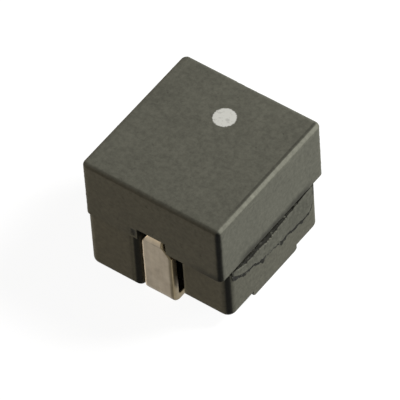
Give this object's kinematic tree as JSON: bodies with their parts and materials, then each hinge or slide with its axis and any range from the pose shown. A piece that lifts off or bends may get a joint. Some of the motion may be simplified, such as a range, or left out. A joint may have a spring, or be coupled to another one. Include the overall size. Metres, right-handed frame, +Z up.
{
  "type": "shielded smd power inductor",
  "caption": "Square block of two bonded ferrite halves round a single-turn flat copper clip, with tinned legs in end slots that fold under as solder feet.",
  "frame": {"origin": "centre of the block in plan, on the plane of the two solder feet's undersides", "axes": "+Z up, away from the board; Y along the clip from foot to foot; +X to the side of the shorter wall of the lower core"},
  "size_m": [0.0102, 0.0104, 0.0093],
  "materials": {
    "ferrite_upper": "satin",
    "ferrite_lower": "satin",
    "tinned_copper": "satin",
    "adhesive": "matte"
  },
  "bodies": {
    "root": {"upper_core": "ferrite_upper", "lower_core": "ferrite_lower", "winding_clip": "tinned_copper", "adhesive_right": "adhesive", "adhesive_left": "adhesive"}
  },
  "joints": []
}
